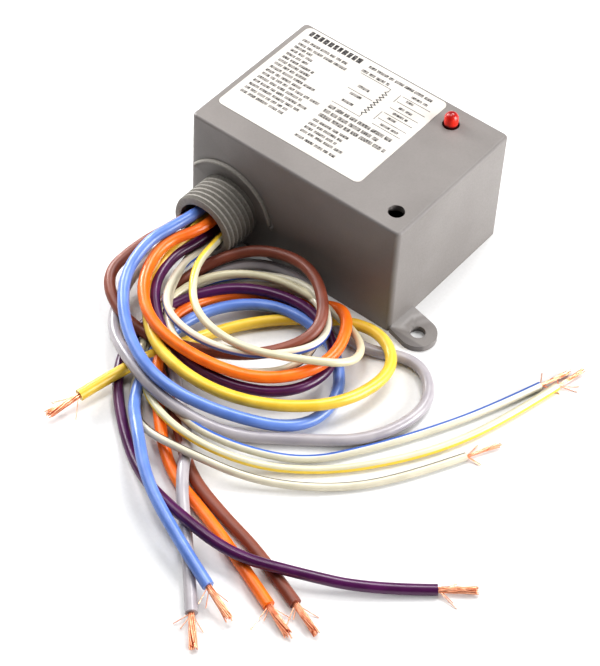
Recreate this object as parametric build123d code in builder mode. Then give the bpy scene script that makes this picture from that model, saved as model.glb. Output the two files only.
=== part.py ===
"""Enclosed pilot relay: a moulded box with a threaded conduit nipple, a double-pole relay on a
circuit board inside it, an indicator lamp, and nine loose leads.

Millimetres, +Z up, +X along the box. The origin is the centre of the box's footprint, on the
surface that it lies on. The nipple and its leads leave the box towards -Y.
"""

import os
from math import pi, radians, sin, tan

from build123d import *

os.makedirs("parts", exist_ok=True)


def save(node, name):
    """Label a finished piece and write it to its own file."""
    node.part.label = name
    export_step(node.part, f"parts/{name}.step")


# ---- Driving dimensions -------------------------------------------------------------------

# housing
box_length = 76.0
box_width = 54.0
box_height = 40.5
wall = 2.2
corner_radius = 1.6
top_edge_radius = 1.0
ledge_width = 0.9

# conduit nipple, 1/2-14 taper pipe size
nipple_radius = 10.67
nipple_length = 12.7
nipple_bore_radius = 8.2
nipple_edge = 0.6
nipple_from_left = 15.0
nipple_z = 12.5

# stiffening rib round the nipple, and the moulding nub at its end
rib_radius = 15.7
rib_width = 0.8
rib_height = 0.9
rib_end_angle = 8.0
nub_radius = 0.6
nub_from_nipple = 16.7

# mounting ears
ear_radius = 5.8
ear_thickness = 2.0
ear_reach = 7.4
ear_offset_y = 4.0
ear_root = 11.5
ear_hole_radius = 2.3

# indicator lamp and the blank hole beside it
lamp_radius = 2.5
lamp_flange_radius = 2.9
lamp_flange_thickness = 1.0
lamp_body = 6.7
lamp_from_right = 15.8
lamp_from_back = 7.6
lamp_hole_clearance = 0.1
lamp_lead_radius = 0.25
lamp_lead_pitch = 2.54
blank_hole_radius = 2.5
blank_hole_from_right = 6.3
blank_hole_from_front = 7.2

# label
label_length = 52.6
label_width = 44.0
label_thickness = 0.12
label_corner = 2.0
label_from_left = 2.2
label_from_back = 1.2

# base plate and circuit board
base_thickness = 2.4
base_clearance = 0.15
board_thickness = 1.6
board_gap = 1.0
board_margin = 1.2
boss_radius = 2.8
peg_radius = 1.2
peg_head = 0.5
boss_inset = 3.6

# general fits
slip = 0.05
pin_clearance = 0.1
pin_stub = 0.7

# relay
relay_side_room = 1.2
relay_height = 28.5
relay_from_right = 7.5
relay_from_back = 20.5
relay_end_room = 1.3
relay_base_height = 4.0
cover_wall = 0.8
cover_seat = 1.0

# magnet
yoke_thickness = 1.5
yoke_width = 10.0
yoke_height = 16.0
yoke_to_cover = 2.6
bobbin_size = 15.0
bobbin_flange = 0.9
bobbin_tube_radius = 4.0
bobbin_corner = 1.5
bobbin_gap = 0.5
core_radius = 3.0
pole_radius = 4.5
pole_thickness = 1.0
winding_radius = 6.9
coil_pin_radius = 0.4
coil_pin_x = 5.5
coil_pin_y = 6.8

# armature and contacts
armature_thickness = 1.5
armature_width = 10.0
armature_length = 14.0
armature_tail = 1.5
armature_tail_width = 7.0
armature_travel = 3.5
pole_gap = 0.1
carrier_length = 8.0
carrier_start = 4.0
carrier_wall = 0.75
carrier_height = 2.5
arm_width = 3.5
arm_thickness = 0.3
arm_start = 1.0
arm_tip = 2.0
arm_spacing = 12.0
contact_reach = 22.5
contact_radius = 1.5
contact_thickness = 0.7
contact_gap = 0.1

# terminals
terminal_width = 3.5
terminal_thickness = 0.6
common_width = 2.8
common_gap = 0.35
no_setback = 2.0
nc_setback = 3.2
spring_thickness = 0.3
spring_width = 5.0
spring_gap = 0.2
spring_foot = 9.0

# other parts on the board
rectifier_size = (8.6, 6.5, 3.4)
rectifier_from_relay = 1.0
rectifier_from_front = 13.0
rectifier_pitch_x = 5.08
rectifier_pitch_y = 7.62
resistor_radius = 2.0
resistor_length = 11.0
resistor_lift = 0.5
resistor_from_relay = 15.5
resistor_from_front = 17.5
capacitor_size = (18.0, 6.0, 12.0)
capacitor_from_relay = 15.5
capacitor_from_front = 9.5
capacitor_pin_pitch = 15.0
varistor_radius = 4.5
varistor_thickness = 3.5
varistor_from_right = 7.0
varistor_from_front = 15.5
varistor_pin_pitch = 5.0
varistor_lift = 1.5
component_pin_radius = 0.35
component_lift = 0.2

# leads
thick_lead = 3.5
control_lead = 3.2
thin_lead = 2.4
thick_conductor = 1.9
thin_conductor = 1.2
conductor_length = 11.0
mouth_run = 2.3
arc_share = 0.45

# ---- Levels and places worked out from them -----------------------------------------------

front_face = -box_width / 2
back_face = box_width / 2
left_end = -box_length / 2
right_end = box_length / 2
nipple_x = left_end + nipple_from_left
nipple_mouth = front_face - nipple_length
nub_x = nipple_x + nub_from_nipple
lamp_x = right_end - lamp_from_right
lamp_y = back_face - lamp_from_back
blank_hole = (right_end - blank_hole_from_right, front_face + blank_hole_from_front)
label_place = (
    left_end + label_from_left + label_length / 2,
    back_face - label_from_back - label_width / 2,
)
cavity_top = box_height - wall
base_top = base_thickness
board_bottom = base_top + board_gap
board_top = board_bottom + board_thickness
pin_end = board_bottom - pin_stub
cavity_length = box_length - 2 * wall
cavity_width = box_width - 2 * wall

carrier_width = arm_spacing + arm_width + 2 * carrier_wall
relay_width = carrier_width + 2 * (relay_side_room + cover_wall)
# The relay is as long as its magnet, contacts and terminals need, one behind the other.
relay_length = (
    2 * cover_wall + yoke_to_cover + contact_reach + nc_setback + terminal_thickness / 2
    + relay_end_room
)
relay_left = right_end - relay_from_right - relay_length
relay_x = relay_left + relay_length / 2
relay_y = back_face - relay_from_back
rectifier_place = (relay_left + rectifier_from_relay, front_face + rectifier_from_front)
resistor_place = (relay_left + resistor_from_relay, front_face + resistor_from_front)
capacitor_place = (relay_left + capacitor_from_relay, front_face + capacitor_from_front)
varistor_place = (right_end - varistor_from_right, front_face + varistor_from_front)
relay_base_top = board_top + relay_base_height
cover_inner_length = relay_length - 2 * cover_wall
cover_inner_width = relay_width - 2 * cover_wall

hinge_x = relay_left + cover_wall + yoke_to_cover
hinge_z = relay_base_top + yoke_height
coil_x = hinge_x + yoke_thickness + bobbin_gap + bobbin_size / 2
bobbin_bottom = relay_base_top + yoke_thickness
bobbin_top = hinge_z - pole_gap / 2 - pole_thickness
arm_level = pole_gap / 2 + armature_thickness + carrier_height / 2
arm_rows = [relay_y - arm_spacing / 2, relay_y + arm_spacing / 2]
contact_x = hinge_x + contact_reach
moving_half = arm_thickness / 2 + contact_thickness
no_contact_top = hinge_z + arm_level - moving_half - contact_gap
no_strip_x = contact_x + no_setback
nc_strip_x = contact_x + nc_setback

# The armature hangs released: its pieces are drawn on planes tilted up about the hinge edge.
released = Plane(origin=(hinge_x, relay_y, hinge_z)).rotated((0, -armature_travel, 0))

ear_places = [
    (right_end + ear_reach, front_face + ear_offset_y, 0),
    (left_end - ear_reach, back_face - ear_offset_y, 180),
]

# ---- Leads: pad on the board, place in the bore, route outside ----------------------------

# "pad" is the lead's way up from its solder pad, with heights above the board, "bore" its place
# across the bore from the bore's centre, "loop" its way from the nipple into the coil and "tail"
# its way out of the coil.
leads = {
    "blue": {
        "diameter": thick_lead,
        "pad": [(-26, 4, 0), (-26, 4, 12.5)],
        "bore": (-2.0, 4.2),
        "loop": [(-29.5, -55, 16), (-27, -71, 12)],
        "tail": [(-4, -93, 8.6), (9, -108, 9.4), (24, -119, 9), (41, -127, 7), (58, -133, 4.5)],
    },
    "orange": {
        "diameter": thick_lead,
        "pad": [(-19.5, 4, 0), (-19.5, 4, 10.9)],
        "bore": (2.2, 2.6),
        "loop": [(-26.5, -53, 13.3), (-22, -69, 10.9)],
        "tail": [(3, -96, 2.4), (21, -106, 5.9), (40, -112, 4.6), (56, -119, 2.2), (73, -126, 1.8)],
    },
    "purple": {
        "diameter": control_lead,
        "pad": [(-20.5, -5, 0), (-20.5, -5, 6.8)],
        "bore": (2.2, -1.6),
        "loop": [(-24, -53, 8.5), (-18, -69, 6)],
        "tail": [
            (-11, -92, 1.6), (3, -105, 1.6), (19, -116, 3), (37, -122, 6),
            (56, -121.5, 6), (74, -115, 5.4), (90, -105, 2), (104, -93, 1.6),
        ],
    },
    "brown": {
        "diameter": thick_lead,
        "pad": [(-31, -5, 0), (-31, -5, 8.8)],
        "bore": (-5.6, 0.5),
        "loop": [(-35, -55, 8.5), (-34, -72, 4.5)],
        "tail": [(8, -93, 3), (26, -103, 6), (44, -109.5, 4), (61, -114.5, 1.8), (78, -121, 1.8)],
    },
    "yellow": {
        "diameter": thick_lead,
        "pad": [(-25.5, -5, 0), (-25.5, -5, 8.1)],
        "bore": (-1.8, -0.2),
        "loop": [(-28.5, -56, 8.6), (-20.5, -74, 5.5)],
        "tail": [(-8, -88, 5.5), (-12, -106, 4)],
    },
    "grey": {
        "diameter": thick_lead,
        "pad": [(-29.5, -12, 1.8), (-29.5, -16, 1.9)],
        "bore": (-4.2, -4.2),
        "loop": [(-33, -57, 4.5), (-26, -78, 4.5)],
        "tail": [(21, -97, 1.8), (31, -113, 1.8), (46, -127, 1.8), (59, -141, 1.8)],
    },
    "white_yellow": {
        "diameter": thin_lead,
        "pad": [(-14.5, -5, 0), (-14.5, -5, 6.8)],
        "bore": (5.6, -1.6),
        "loop": [(-14.5, -54, 12), (-3, -67, 12)],
        "tail": [
            (6, -95.5, 7.4), (24, -99, 8.4), (42, -92, 2), (57, -80, 1.2),
            (69, -65, 1.2), (78, -49, 1.2), (84, -31, 1.2), (88, -13, 1.2),
        ],
    },
    "white_blue": {
        "diameter": thin_lead,
        "pad": [(-19, -12, 1.3), (-19, -16, 1.4)],
        "bore": (3.0, -5.0),
        "loop": [(-20, -54, 8.5), (-13, -70, 9)],
        "tail": [
            (14, -94, 7), (33, -92.5, 4.4), (50, -82, 1.2), (61, -66, 1.2),
            (70, -50, 1.2), (78, -33, 1.2), (84, -16, 1.2),
        ],
    },
    "white_black": {
        "diameter": thin_lead,
        "pad": [(-24, -12, 1.3), (-24, -16, 1.4)],
        "bore": (0.0, -4.2),
        "loop": [(-22, -53, 4.6), (-13.5, -67, 4)],
        "tail": [
            (-4, -93, 3.4), (7, -103, 6.4), (26, -104.5, 9.8), (45, -97, 3),
            (62, -84, 1.2), (74, -69, 1.2), (83, -51, 1.2),
        ],
    },
}

# ---- Housing ------------------------------------------------------------------------------

with BuildPart() as housing:
    with BuildSketch():
        RectangleRounded(box_length, box_width, corner_radius)
    extrude(amount=box_height)
    fillet(housing.faces().sort_by(Axis.Z)[-1].edges(), top_edge_radius)
    # cavity, stepped at the bottom so that the base plate seats on a ledge
    with BuildSketch(Plane.XY.offset(base_top)):
        Rectangle(cavity_length, cavity_width)
    extrude(amount=cavity_top - base_top, mode=Mode.SUBTRACT)
    with BuildSketch():
        Rectangle(cavity_length + 2 * ledge_width, cavity_width + 2 * ledge_width)
    extrude(amount=base_top, mode=Mode.SUBTRACT)
    # mounting ears at two opposite corners
    with BuildSketch():
        for ear_x, ear_y, turn in ear_places:
            with Locations(Location((ear_x, ear_y), turn)):
                with BuildSketch(mode=Mode.PRIVATE) as ear:
                    with BuildLine():
                        CenterArc((0, 0), ear_radius, 0, 360)
                        Line((-ear_reach, -ear_offset_y), (-ear_reach, ear_root - ear_offset_y))
                    make_hull()
                add(ear.sketch)
                Circle(ear_hole_radius, mode=Mode.SUBTRACT)
    extrude(amount=ear_thickness)
    # conduit nipple
    with BuildSketch(Plane.XZ.offset(-front_face)):
        with Locations((nipple_x, nipple_z)):
            Circle(nipple_radius)
    extrude(amount=nipple_length)
    chamfer(housing.faces().sort_by(Axis.Y)[0].edges(), nipple_edge)
    # rib round the nipple, cut off where the front wall turns into the left one
    with BuildSketch(Plane.XZ.offset(-front_face - corner_radius / 2)) as rib:
        with Locations((nipple_x, nipple_z)):
            Circle(rib_radius + rib_width / 2)
            Circle(rib_radius - rib_width / 2, mode=Mode.SUBTRACT)
        rib_bottom = nipple_z + rib_radius * sin(radians(rib_end_angle))
        with Locations((0, rib_bottom)):
            Rectangle(
                box_length - 2 * corner_radius, box_height, align=(Align.CENTER, Align.MIN),
                mode=Mode.INTERSECT,
            )
    extrude(amount=rib_height + corner_radius / 2)
    with BuildSketch(Plane.XZ.offset(-front_face)):
        with Locations((nub_x, rib_bottom - nub_radius)):
            Circle(nub_radius)
    extrude(amount=rib_height)
    # bore, through the nipple and the front wall
    with BuildSketch(Plane.XZ.offset(-nipple_mouth)):
        with Locations((nipple_x, nipple_z)):
            Circle(nipple_bore_radius)
    extrude(amount=-(nipple_length + 2 * wall), mode=Mode.SUBTRACT)
    # lamp hole and blank hole in the top
    with BuildSketch(Plane.XY.offset(box_height)):
        with Locations((lamp_x, lamp_y)):
            Circle(lamp_radius + lamp_hole_clearance)
        with Locations(blank_hole):
            Circle(blank_hole_radius)
    extrude(amount=-2 * wall, mode=Mode.SUBTRACT)
save(housing, "housing")

with BuildPart() as label:
    with BuildSketch(Plane.XY.offset(box_height)):
        with Locations(label_place):
            RectangleRounded(label_length, label_width, label_corner)
    extrude(amount=label_thickness)
save(label, "label")

# ---- Base plate and circuit board ---------------------------------------------------------

board_length = cavity_length - 2 * board_margin
board_width = cavity_width - 2 * board_margin
boss_grid = (board_length - 2 * boss_inset, board_width - 2 * boss_inset)

with BuildPart() as base_plate:
    with BuildSketch():
        rim_step = 2 * (ledge_width - base_clearance)
        Rectangle(cavity_length + rim_step, cavity_width + rim_step)
    extrude(amount=base_thickness)
    # four bosses, each with a peg staked over the board
    with BuildSketch(Plane.XY.offset(base_top)):
        with GridLocations(*boss_grid, 2, 2):
            Circle(boss_radius)
    extrude(amount=board_gap)
    with BuildSketch(Plane.XY.offset(board_bottom)):
        with GridLocations(*boss_grid, 2, 2):
            Circle(peg_radius)
    extrude(amount=board_thickness)
    with BuildSketch(Plane.XY.offset(board_top)):
        with GridLocations(*boss_grid, 2, 2):
            Circle(peg_radius + peg_head)
    extrude(amount=peg_head)
save(base_plate, "base_plate")

# Every pin that goes through the board, as (x, y, radius).
coil_pin_places = [(coil_x + coil_pin_x, relay_y + side * coil_pin_y) for side in (-1, 1)]
lamp_pin_places = [(lamp_x + side * lamp_lead_pitch / 2, lamp_y) for side in (-1, 1)]
rectifier_pins = [
    (rectifier_place[0] + i * rectifier_pitch_x / 2, rectifier_place[1] + j * rectifier_pitch_y / 2)
    for i in (-1, 1)
    for j in (-1, 1)
]
resistor_half = resistor_length / 2 + resistor_radius
resistor_pins = [(resistor_place[0] + side * resistor_half, resistor_place[1]) for side in (-1, 1)]
capacitor_pins = [
    (capacitor_place[0] + side * capacitor_pin_pitch / 2, capacitor_place[1]) for side in (-1, 1)
]
varistor_pins = [
    (varistor_place[0], varistor_place[1] + side * varistor_pin_pitch / 2) for side in (-1, 1)
]
component_pins = rectifier_pins + resistor_pins + capacitor_pins + varistor_pins

# Every flat terminal that goes through the board, as (x, y, width); x is its middle.
common_x = relay_left + cover_wall + 0.8 + terminal_thickness / 2
common_terminals = [(common_x, y, common_width) for y in arm_rows]
no_terminals = [(no_strip_x, y, terminal_width) for y in arm_rows]
nc_terminals = [(nc_strip_x, y, terminal_width) for y in arm_rows]
flat_terminals = common_terminals + no_terminals + nc_terminals

with BuildPart() as pcb:
    with BuildSketch(Plane.XY.offset(board_bottom)):
        Rectangle(board_length, board_width)
        with GridLocations(*boss_grid, 2, 2):
            Circle(peg_radius + slip, mode=Mode.SUBTRACT)
        with Locations(*coil_pin_places):
            Circle(coil_pin_radius + pin_clearance, mode=Mode.SUBTRACT)
        with Locations(*lamp_pin_places):
            Circle(lamp_lead_radius + pin_clearance, mode=Mode.SUBTRACT)
        with Locations(*component_pins):
            Circle(component_pin_radius + pin_clearance, mode=Mode.SUBTRACT)
        for x, y, width in flat_terminals:
            with Locations((x, y)):
                slot = (terminal_thickness + 2 * pin_clearance, width + 2 * pin_clearance)
                Rectangle(*slot, mode=Mode.SUBTRACT)
    extrude(amount=board_thickness)
save(pcb, "pcb")

# ---- Indicator lamp -----------------------------------------------------------------------

with BuildPart() as led_lens:
    with BuildSketch(Plane.XZ):
        with BuildLine():
            dome_base = lamp_body - lamp_radius
            Polyline(
                (0, -lamp_flange_thickness), (lamp_flange_radius, -lamp_flange_thickness),
                (lamp_flange_radius, 0), (lamp_radius, 0), (lamp_radius, dome_base),
            )
            CenterArc((0, dome_base), lamp_radius, 0, 90)
            Line((0, lamp_body), (0, -lamp_flange_thickness))
        make_face()
    revolve(axis=Axis.Z)
led_lens.part.locate(Location((lamp_x, lamp_y, cavity_top)))
save(led_lens, "led_lens")

with BuildPart() as led_leads:
    with BuildSketch(Plane.XY.offset(pin_end)):
        with Locations(*lamp_pin_places):
            Circle(lamp_lead_radius)
    extrude(amount=cavity_top - lamp_flange_thickness - pin_end)
save(led_leads, "led_leads")

# ---- Relay: base, cover, magnet -----------------------------------------------------------

with BuildPart() as relay_base:
    with BuildSketch(Plane.XY.offset(board_top)):
        with Locations((relay_x, relay_y)):
            Rectangle(relay_length, relay_width)
    extrude(amount=cover_seat)
    with BuildSketch(Plane.XY.offset(board_top + cover_seat)):
        with Locations((relay_x, relay_y)):
            Rectangle(cover_inner_length - 2 * slip, cover_inner_width - 2 * slip)
    extrude(amount=relay_base_height - cover_seat)
    with BuildSketch(Plane.XY.offset(board_top)):
        with Locations(*coil_pin_places):
            Circle(coil_pin_radius + slip)
        for x, y, width in flat_terminals:
            with Locations((x, y)):
                Rectangle(terminal_thickness + 2 * slip, width + 2 * slip)
    extrude(amount=relay_base_height, mode=Mode.SUBTRACT)
save(relay_base, "relay_base")

with BuildPart() as relay_cover:
    with BuildSketch(Plane.XY.offset(board_top + cover_seat)):
        with Locations((relay_x, relay_y)):
            Rectangle(relay_length, relay_width)
    extrude(amount=relay_height - cover_seat)
    fillet(relay_cover.faces().sort_by(Axis.Z)[-1].edges(), cover_wall / 2)
    with BuildSketch(Plane.XY.offset(board_top + cover_seat)):
        with Locations((relay_x, relay_y)):
            Rectangle(cover_inner_length, cover_inner_width)
    extrude(amount=relay_height - cover_seat - cover_wall, mode=Mode.SUBTRACT)
save(relay_cover, "relay_cover")

with BuildPart() as yoke:
    with BuildSketch(Plane.XZ.offset(-relay_y)):
        with BuildLine():
            foot_end = coil_x + core_radius + yoke_thickness * 2
            Polyline(
                (hinge_x, relay_base_top), (foot_end, relay_base_top),
                (foot_end, bobbin_bottom), (hinge_x + yoke_thickness, bobbin_bottom),
                (hinge_x + yoke_thickness, hinge_z), (hinge_x, hinge_z), close=True,
            )
        make_face()
    extrude(amount=yoke_width / 2, both=True)
    with BuildSketch(Plane.XY.offset(relay_base_top)):
        with Locations((coil_x, relay_y)):
            Circle(core_radius + slip)
    extrude(amount=yoke_thickness, mode=Mode.SUBTRACT)
save(yoke, "yoke")

with BuildPart() as core:
    with BuildSketch(Plane.XY.offset(relay_base_top)):
        with Locations((coil_x, relay_y)):
            Circle(core_radius)
    extrude(amount=bobbin_top - relay_base_top)
    with BuildSketch(Plane.XY.offset(bobbin_top)):
        with Locations((coil_x, relay_y)):
            Circle(pole_radius)
    extrude(amount=pole_thickness)
save(core, "core")

with BuildPart() as bobbin:
    for level in (bobbin_bottom, bobbin_top - bobbin_flange):
        with BuildSketch(Plane.XY.offset(level)):
            with Locations((coil_x, relay_y)):
                RectangleRounded(bobbin_size, bobbin_size, bobbin_corner)
        extrude(amount=bobbin_flange)
    with BuildSketch(Plane.XY.offset(bobbin_bottom)):
        with Locations((coil_x, relay_y)):
            Circle(bobbin_tube_radius)
    extrude(amount=bobbin_top - bobbin_bottom)
    with BuildSketch(Plane.XY.offset(bobbin_bottom)):
        with Locations((coil_x, relay_y)):
            Circle(core_radius + slip)
    extrude(amount=bobbin_top - bobbin_bottom, mode=Mode.SUBTRACT)
save(bobbin, "bobbin")

with BuildPart() as coil_winding:
    with BuildSketch(Plane.XY.offset(bobbin_bottom + bobbin_flange + slip)):
        with Locations((coil_x, relay_y)):
            Circle(winding_radius)
            Circle(bobbin_tube_radius + slip, mode=Mode.SUBTRACT)
    extrude(amount=bobbin_top - bobbin_bottom - 2 * (bobbin_flange + slip))
save(coil_winding, "coil_winding")

with BuildPart() as coil_pins:
    with BuildSketch(Plane.XY.offset(pin_end)):
        with Locations(*coil_pin_places):
            Circle(coil_pin_radius)
    extrude(amount=bobbin_bottom - pin_end)
save(coil_pins, "coil_pins")

# ---- Relay: armature, drawn in its released position --------------------------------------

with BuildPart() as armature:
    with BuildSketch(released.offset(pole_gap / 2)):
        Rectangle(armature_length, armature_width, align=(Align.MIN, Align.CENTER))
        Rectangle(armature_tail, armature_tail_width, align=(Align.MAX, Align.CENTER))
    extrude(amount=armature_thickness)
save(armature, "armature")

with BuildPart() as arm_carrier:
    with BuildSketch(released.offset(pole_gap / 2 + armature_thickness)):
        with Locations((carrier_start, 0)):
            Rectangle(carrier_length, carrier_width, align=(Align.MIN, Align.CENTER))
    extrude(amount=carrier_height)
    with BuildSketch(released.offset(arm_level - arm_thickness / 2 - slip)):
        with Locations((carrier_start, -arm_spacing / 2), (carrier_start, arm_spacing / 2)):
            Rectangle(carrier_length, arm_width + 2 * slip, align=(Align.MIN, Align.CENTER))
    extrude(amount=arm_thickness + 2 * slip, mode=Mode.SUBTRACT)
save(arm_carrier, "arm_carrier")

for number, side in ((1, -1), (2, 1)):
    with BuildPart() as contact_arm:
        with BuildSketch(released.offset(arm_level - arm_thickness / 2)):
            with Locations((arm_start, side * arm_spacing / 2)):
                arm_length = contact_reach + arm_tip - arm_start
                Rectangle(arm_length, arm_width, align=(Align.MIN, Align.CENTER))
        extrude(amount=arm_thickness)
    save(contact_arm, f"contact_arm_{number}")

with BuildPart() as moving_contacts:
    for level in (arm_level - moving_half, arm_level + arm_thickness / 2):
        with BuildSketch(released.offset(level)):
            with Locations((contact_reach, -arm_spacing / 2), (contact_reach, arm_spacing / 2)):
                Circle(contact_radius)
        extrude(amount=contact_thickness)
save(moving_contacts, "moving_contacts")

# ---- Relay: fixed contacts and terminals --------------------------------------------------

nc_contact_level = arm_level + moving_half + contact_gap
nc_contact_top = nc_contact_level + contact_thickness
nc_strip_bottom = hinge_z + nc_contact_top + (contact_reach + contact_radius) * sin(radians(armature_travel))

with BuildPart() as nc_contacts:
    with BuildSketch(released.offset(nc_contact_level)):
        with Locations((contact_reach, -arm_spacing / 2), (contact_reach, arm_spacing / 2)):
            Circle(contact_radius)
    extrude(amount=contact_thickness)
save(nc_contacts, "nc_contacts")

with BuildPart() as no_contacts:
    with BuildSketch(Plane.XY.offset(no_contact_top - contact_thickness)):
        with Locations((contact_x, arm_rows[0]), (contact_x, arm_rows[1])):
            Circle(contact_radius)
    extrude(amount=contact_thickness)
save(no_contacts, "no_contacts")


def bent_terminal(strip_x, width, row, bend_top, tab_end):
    """A flat terminal: a strip up from the pin end, with a tab bent over at the top."""
    outer = strip_x + terminal_thickness / 2
    inner = strip_x - terminal_thickness / 2
    if tab_end > strip_x:
        outer, inner = inner, outer
    with BuildPart() as terminal:
        with BuildSketch(Plane.XZ.offset(-row)):
            with BuildLine():
                Polyline(
                    (outer, pin_end), (inner, pin_end), (inner, bend_top - terminal_thickness),
                    (tab_end, bend_top - terminal_thickness), (tab_end, bend_top),
                    (outer, bend_top), close=True,
                )
            make_face()
        extrude(amount=width / 2, both=True)
    return terminal


tab_end = contact_x - contact_radius
common_top = hinge_z + arm_level - arm_thickness / 2 - common_gap
for number, row in enumerate(arm_rows, start=1):
    common = bent_terminal(common_x, common_width, row, common_top, hinge_x + yoke_thickness)
    save(common, f"common_terminal_{number}")
    no_top = no_contact_top - contact_thickness
    save(bent_terminal(no_strip_x, terminal_width, row, no_top, tab_end), f"no_terminal_{number}")
    nc_top = nc_strip_bottom + terminal_thickness
    save(bent_terminal(nc_strip_x, terminal_width, row, nc_top, tab_end), f"nc_terminal_{number}")

with BuildPart() as return_spring:
    with BuildSketch(Plane.XZ.offset(-relay_y)):
        with BuildLine():
            leg = hinge_x - spring_thickness / 2
            step = hinge_x - armature_tail - spring_gap - spring_thickness
            hook = hinge_z + pole_gap / 2 + armature_thickness + 2 * spring_gap
            Polyline(
                (leg, hinge_z - spring_foot), (leg, hinge_z - 2 * spring_thickness - spring_gap),
                (step, hinge_z - spring_thickness - spring_gap), (step, hook),
                (hinge_x - armature_tail / 2, hook),
            )
        trace(line_width=spring_thickness)
    extrude(amount=spring_width / 2, both=True)
save(return_spring, "return_spring")

# ---- Other parts on the board -------------------------------------------------------------

with BuildPart() as bridge_rectifier:
    with BuildSketch(Plane.XY.offset(board_top + component_lift)):
        with Locations(rectifier_place):
            RectangleRounded(rectifier_size[0], rectifier_size[1] + 2.0, 0.4)
    extrude(amount=rectifier_size[2])
    with BuildSketch(Plane.XY.offset(pin_end)):
        with Locations(*rectifier_pins):
            Circle(component_pin_radius)
    extrude(amount=board_top + component_lift - pin_end)
save(bridge_rectifier, "bridge_rectifier")

with BuildPart() as dropper_resistor:
    axle = board_top + resistor_lift + resistor_radius
    with BuildSketch(Plane.YZ.offset(resistor_place[0])):
        with Locations((resistor_place[1], axle)):
            Circle(resistor_radius)
    extrude(amount=resistor_length / 2, both=True)
    with BuildSketch(Plane.YZ.offset(resistor_place[0])):
        with Locations((resistor_place[1], axle)):
            Circle(component_pin_radius)
    extrude(amount=resistor_half + component_pin_radius, both=True)
    with BuildSketch(Plane.XY.offset(pin_end)):
        with Locations(*resistor_pins):
            Circle(component_pin_radius)
    extrude(amount=axle - pin_end)
save(dropper_resistor, "dropper_resistor")

with BuildPart() as film_capacitor:
    with BuildSketch(Plane.XY.offset(board_top + component_lift)):
        with Locations(capacitor_place):
            Rectangle(capacitor_size[0], capacitor_size[1])
    extrude(amount=capacitor_size[2])
    fillet(film_capacitor.edges().filter_by(Axis.Z), 0.6)
    with BuildSketch(Plane.XY.offset(pin_end)):
        with Locations(*capacitor_pins):
            Circle(component_pin_radius)
    extrude(amount=board_top + component_lift - pin_end)
save(film_capacitor, "film_capacitor")

with BuildPart() as varistor:
    with BuildSketch(Plane.YZ.offset(varistor_place[0])):
        with Locations((varistor_place[1], board_top + varistor_lift + varistor_radius)):
            Circle(varistor_radius)
    extrude(amount=varistor_thickness / 2, both=True)
    with BuildSketch(Plane.XY.offset(pin_end)):
        with Locations(*varistor_pins):
            Circle(component_pin_radius)
    extrude(amount=board_top + varistor_lift + varistor_radius - pin_end)
save(varistor, "varistor")

# ---- Leads --------------------------------------------------------------------------------


def bend_radii(points):
    """The largest tangent arc that the two runs at each inner point allow."""
    radii = []
    for before, here, after in zip(points, points[1:], points[2:]):
        run_in = Vector(*here) - Vector(*before)
        run_out = Vector(*after) - Vector(*here)
        half_turn = radians(run_in.get_angle(run_out)) / 2
        radii.append(arc_share * min(run_in.length, run_out.length) / tan(half_turn))
    return radii


for name, lead in leads.items():
    diameter = lead["diameter"]
    bore_x = nipple_x + lead["bore"][0]
    bore_z = nipple_z + lead["bore"][1]
    lead_in = [
        *[(x, y, board_top + height) for x, y, height in lead["pad"]],
        (bore_x, front_face + wall, bore_z),
        (bore_x, nipple_mouth - mouth_run, bore_z),
        *lead["loop"],
    ]
    length = 0
    with BuildPart() as insulation:
        for points in (lead_in, lead["tail"]):
            radii = bend_radii(points)
            with BuildLine() as route:
                if radii:
                    FilletPolyline(*points, radius=radii)
                else:
                    Line(*points)
            with BuildSketch(Plane(origin=route.line @ 0, z_dir=route.line % 0)):
                Circle(diameter / 2)
            sweep()
            length += route.wires()[0].length
            print(name, "bend radii", [round(radius, 1) for radius in radii])
    tube_volume = length * pi * diameter**2 / 4
    print(name, "volume", round(insulation.part.volume), "of", round(tube_volume))
    save(insulation, f"lead_{name}")

    # bare strands at the stripped end, in line with the last run
    last_run = Vector(*lead["tail"][-1]) - Vector(*lead["tail"][-2])
    conductor_diameter = thin_conductor if diameter == thin_lead else thick_conductor
    with BuildPart() as conductor:
        with BuildSketch(Plane(origin=lead["tail"][-1], z_dir=last_run)):
            Circle(conductor_diameter / 2)
        extrude(amount=conductor_length)
    save(conductor, f"conductor_{name}")

# The loose coil that the leads lie in: a low ring with a wider loop of two leads at its foot.
coil_height = 13.0
loop_height = 4.2
coil_centre = (9.0, -63.5)
coil_radii = (38.0, 34.5)
hole_centre = (15.0, -58.0)
hole_radii = (12.0, 7.0)
coil_to_nipple = 5.5
loop_outline = [
    (-36, -66), (-32, -80), (-12, -95.5), (10, -100), (34, -92), (52, -76), (65, -57),
    (66, -43), (54, -33), (36, -30), (10, -30), (-10, -34), (-24, -48),
]

with BuildPart() as lead_coil:
    with BuildSketch():
        with BuildLine():
            Spline(*loop_outline, periodic=True)
        make_face()
    extrude(amount=loop_height)
    with BuildSketch():
        with Locations(coil_centre):
            Ellipse(*coil_radii)
    extrude(amount=coil_height)
    with BuildSketch():
        with Locations(hole_centre):
            Ellipse(*hole_radii)
    extrude(amount=coil_height, mode=Mode.SUBTRACT)
    with BuildSketch(Plane.XZ.offset(-front_face)):
        with Locations((nipple_x, nipple_z)):
            Circle(nipple_radius + coil_to_nipple)
    extrude(amount=nipple_length + coil_to_nipple, mode=Mode.SUBTRACT)
save(lead_coil, "lead_coil")
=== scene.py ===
import math
import random

import bpy
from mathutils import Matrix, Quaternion, Vector


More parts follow.
